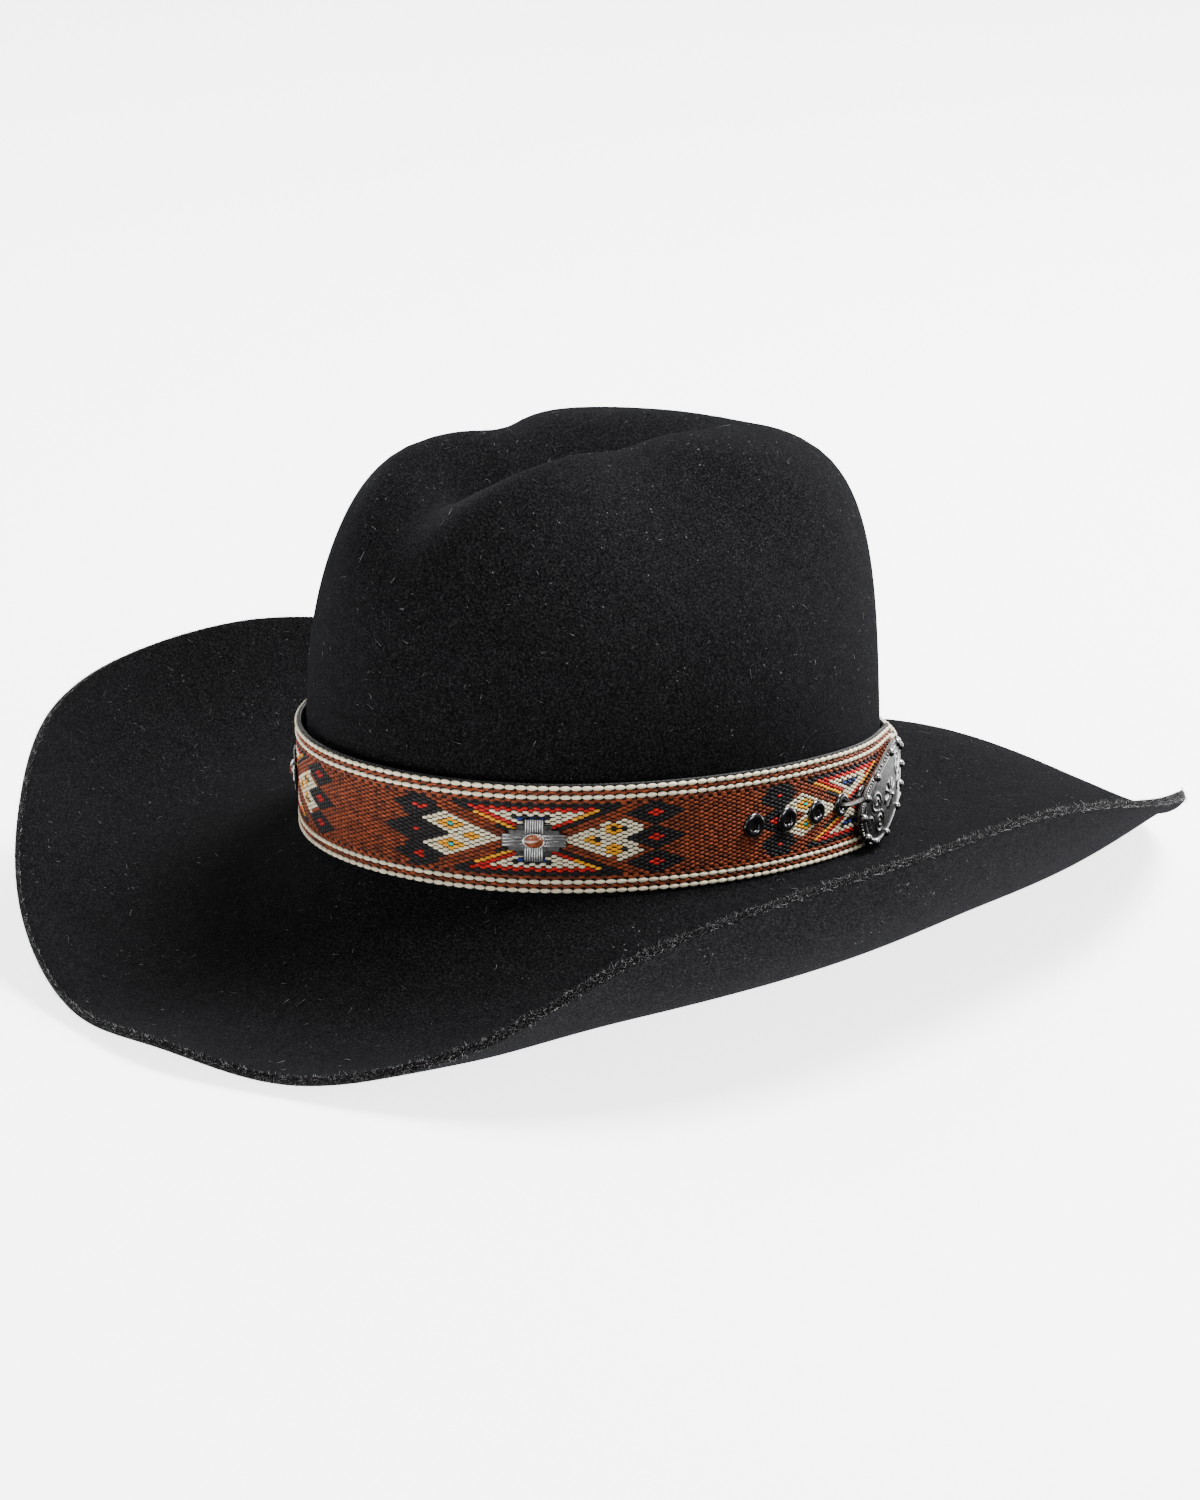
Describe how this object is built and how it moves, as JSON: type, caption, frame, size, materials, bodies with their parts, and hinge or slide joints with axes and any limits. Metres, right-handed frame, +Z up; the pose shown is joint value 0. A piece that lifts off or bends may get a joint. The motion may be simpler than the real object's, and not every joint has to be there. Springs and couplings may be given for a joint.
{
  "type": "western hat",
  "caption": "Black felt western hat with a creased crown, a brim rolled up at the sides, and a woven strap band set with cast crosses, eyelets and a hooked buckle.",
  "frame": {"origin": "under the middle of the brim, level with its lowest points", "axes": "+Z up through the crown; the wearer faces -Y and the wearer's left is +X"},
  "size_m": [0.3574, 0.4075, 0.1634],
  "materials": {
    "black_felt": "matt wool felt",
    "black_leather": "satin",
    "sweatband_leather": "satin",
    "lining_satin": "soft sheen",
    "woven_yarn": "matt woven",
    "aged_silver": "cast and antiqued",
    "brown_stone": "polished",
    "black_enamel": "glossy enamel"
  },
  "bodies": {
    "hat": {"felt_body": "black_felt", "sweatband": "sweatband_leather", "sweatband_reed": "black_leather", "sweatband_bow": "black_leather", "lining_side": "lining_satin", "lining_piping": "lining_satin", "lining_tip": "lining_satin"},
    "hatband": {"band_backing": "black_leather", "band_weave": "woven_yarn", "eyelet_1": "black_enamel", "eyelet_2": "black_enamel", "eyelet_3": "black_enamel", "eyelet_4": "black_enamel", "eyelet_5": "black_enamel", "eyelet_6": "black_enamel", "concho_1_plate": "aged_silver", "concho_1_bezel": "aged_silver", "concho_1_stone": "brown_stone", "concho_1_screw": "aged_silver", "concho_2_plate": "aged_silver", "concho_2_bezel": "aged_silver", "concho_2_stone": "brown_stone", "concho_2_screw": "aged_silver", "concho_3_plate": "aged_silver", "concho_3_bezel": "aged_silver", "concho_3_stone": "brown_stone", "concho_3_screw": "aged_silver", "concho_4_plate": "aged_silver", "concho_4_bezel": "aged_silver", "concho_4_stone": "brown_stone", "concho_4_screw": "aged_silver", "strap_fold": "black_leather", "buckle_bail": "aged_silver"},
    "buckle": {"buckle_plate": "aged_silver", "buckle_rim": "aged_silver", "buckle_boss": "aged_silver"}
  },
  "joints": [
    {"name": "hatband_lift", "type": "slide", "parent": "hat", "child": "hatband", "axis": [0, 0, 1], "range_m": [0, 0.15]},
    {"name": "buckle_swing", "type": "hinge", "parent": "hatband", "child": "buckle", "pos_m": [0.05971, 0.07635, 0.04012], "axis": [-0.0376, 0.0393, 0.9985], "range_deg": [0, 60]}
  ]
}
